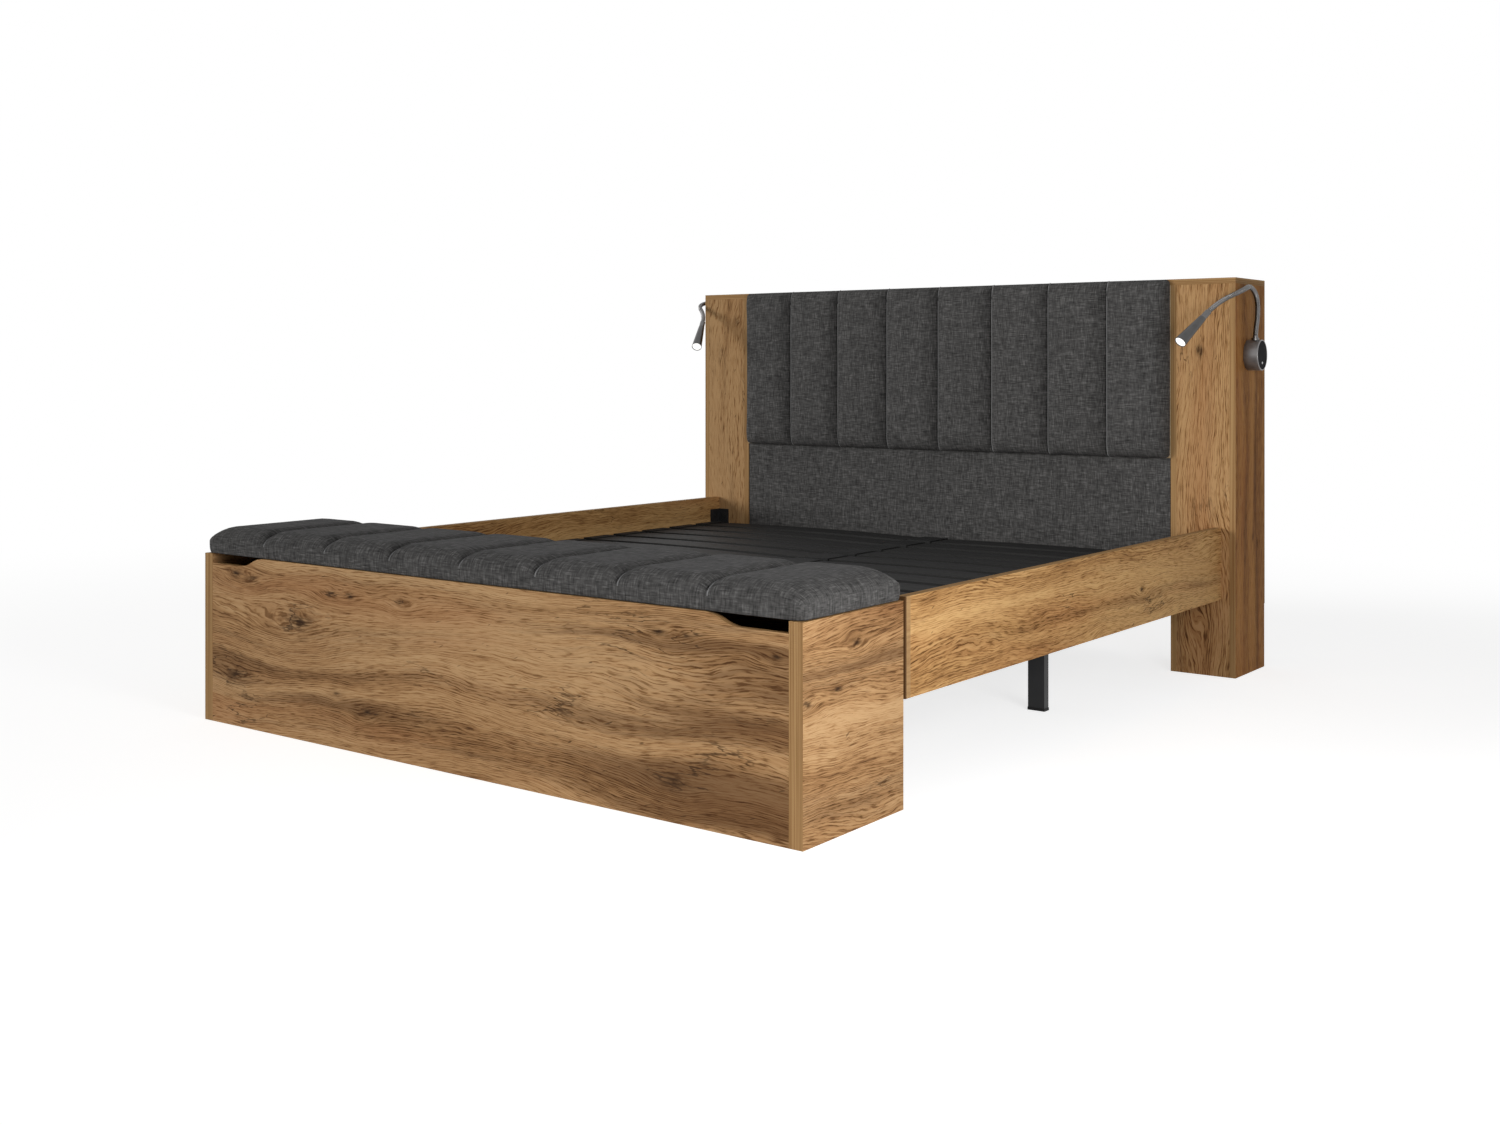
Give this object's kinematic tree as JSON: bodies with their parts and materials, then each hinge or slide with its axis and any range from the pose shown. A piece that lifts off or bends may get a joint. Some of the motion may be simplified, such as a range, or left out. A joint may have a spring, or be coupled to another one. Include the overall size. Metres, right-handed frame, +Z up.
{
  "type": "double bed",
  "caption": "Double bed with a padded channelled headboard, bendable reading lamps on its wings, side rails, slatted base and a foot-end storage bench under a padded hinged lid.",
  "frame": {"origin": "on the floor, in the middle of the whole outline", "axes": "+X to the right seen from the foot end, +Y towards the headboard, +Z up"},
  "size_m": [2.0376, 2.71, 1.224],
  "materials": {
    "oak": "golden-brown knotty oak decor, satin",
    "plywood": "raw plywood and beech",
    "hardboard": "brown hardboard",
    "grey_fabric": "charcoal melange weave",
    "black_slat": "black lacquered slat",
    "black_steel": "black powder coat",
    "black_plastic": "matt black plastic",
    "zinc": "zinc-plated steel",
    "graphite": "graphite satin metal",
    "lamp_lens": "frosted lens",
    "lamp_button": "pale gloss button"
  },
  "bodies": {
    "bed": {"backrest_board": "plywood", "backrest_cushion": "grey_fabric", "bench_back": "oak", "bench_floor": "oak", "bench_front": "oak", "centre_beam": "black_steel", "corner_brackets": "black_steel", "dowels": "plywood", "foot_crossbar": "black_steel", "frame_screws": "zinc", "head_crossbar": "black_steel", "headboard_back": "hardboard", "headboard_stretchers": "oak", "headboard_top": "oak", "hinge_fixed_leaves": "zinc", "hinge_fixed_screws": "zinc", "hinge_pins": "zinc", "left_bench_side": "oak", "left_frame_tube": "black_steel", "left_inner_panel": "oak", "left_lamp_collar": "graphite", "left_lamp_face": "black_plastic", "left_lamp_housing": "graphite", "left_ledge": "black_steel", "left_outer_panel": "oak", "left_rail": "oak", "left_slats": "black_slat", "left_wing_front": "oak", "leg_caps": "black_plastic", "leg_crossbar": "black_steel", "lid_bumpers": "black_plastic", "lower_panel": "grey_fabric", "right_bench_side": "oak", "right_frame_tube": "black_steel", "right_inner_panel": "oak", "right_lamp_collar": "graphite", "right_lamp_face": "black_plastic", "right_lamp_housing": "graphite", "right_ledge": "black_steel", "right_outer_panel": "oak", "right_rail": "oak", "right_slats": "black_slat", "right_wing_front": "oak", "slat_holders": "black_plastic", "support_legs": "black_steel"},
    "lid": {"lid_board": "plywood", "lid_cushion": "grey_fabric", "hinge_lid_leaves": "zinc", "hinge_lid_screws": "zinc"},
    "left_lamp_arm": {"left_lamp_neck": "graphite"},
    "left_lamp_head": {"left_lamp_sleeve": "graphite", "left_lamp_head": "graphite", "left_lamp_lens": "lamp_lens"},
    "left_button": {"left_lamp_button": "lamp_button"},
    "right_lamp_arm": {"right_lamp_neck": "graphite"},
    "right_lamp_head": {"right_lamp_sleeve": "graphite", "right_lamp_head": "graphite", "right_lamp_lens": "lamp_lens"},
    "right_button": {"right_lamp_button": "lamp_button"}
  },
  "joints": [
    {"name": "lid_hinge", "type": "hinge", "parent": "bed", "child": "lid", "pos_m": [0, -0.9405, 0.457], "axis": [-1, 0, 0], "range_deg": [0, 85]},
    {"name": "left_lamp_swing", "type": "hinge", "parent": "bed", "child": "left_lamp_arm", "pos_m": [-0.9965, 1.192, 1.0345], "axis": [0, 0, -1], "range_deg": [-4, 75]},
    {"name": "left_lamp_tilt", "type": "hinge", "parent": "left_lamp_arm", "child": "left_lamp_head", "pos_m": [-0.9385, 1.016, 1.1455], "axis": [-0.9162, -0.4008, 0], "range_deg": [-25, 25], "deforming": ["left_lamp_neck"]},
    {"name": "left_lamp_press", "type": "slide", "parent": "bed", "child": "left_button", "axis": [1, 0, 0], "range_m": [0, 0.0015], "stiffness_N_per_m": 400},
    {"name": "right_lamp_swing", "type": "hinge", "parent": "bed", "child": "right_lamp_arm", "pos_m": [0.9965, 1.192, 1.0345], "axis": [0, 0, 1], "range_deg": [-4, 75]},
    {"name": "right_lamp_tilt", "type": "hinge", "parent": "right_lamp_arm", "child": "right_lamp_head", "pos_m": [0.9385, 1.016, 1.1455], "axis": [-0.9162, 0.4008, 0], "range_deg": [-25, 25], "deforming": ["right_lamp_neck"]},
    {"name": "right_lamp_press", "type": "slide", "parent": "bed", "child": "right_button", "axis": [-1, 0, 0], "range_m": [0, 0.0015], "stiffness_N_per_m": 400}
  ]
}
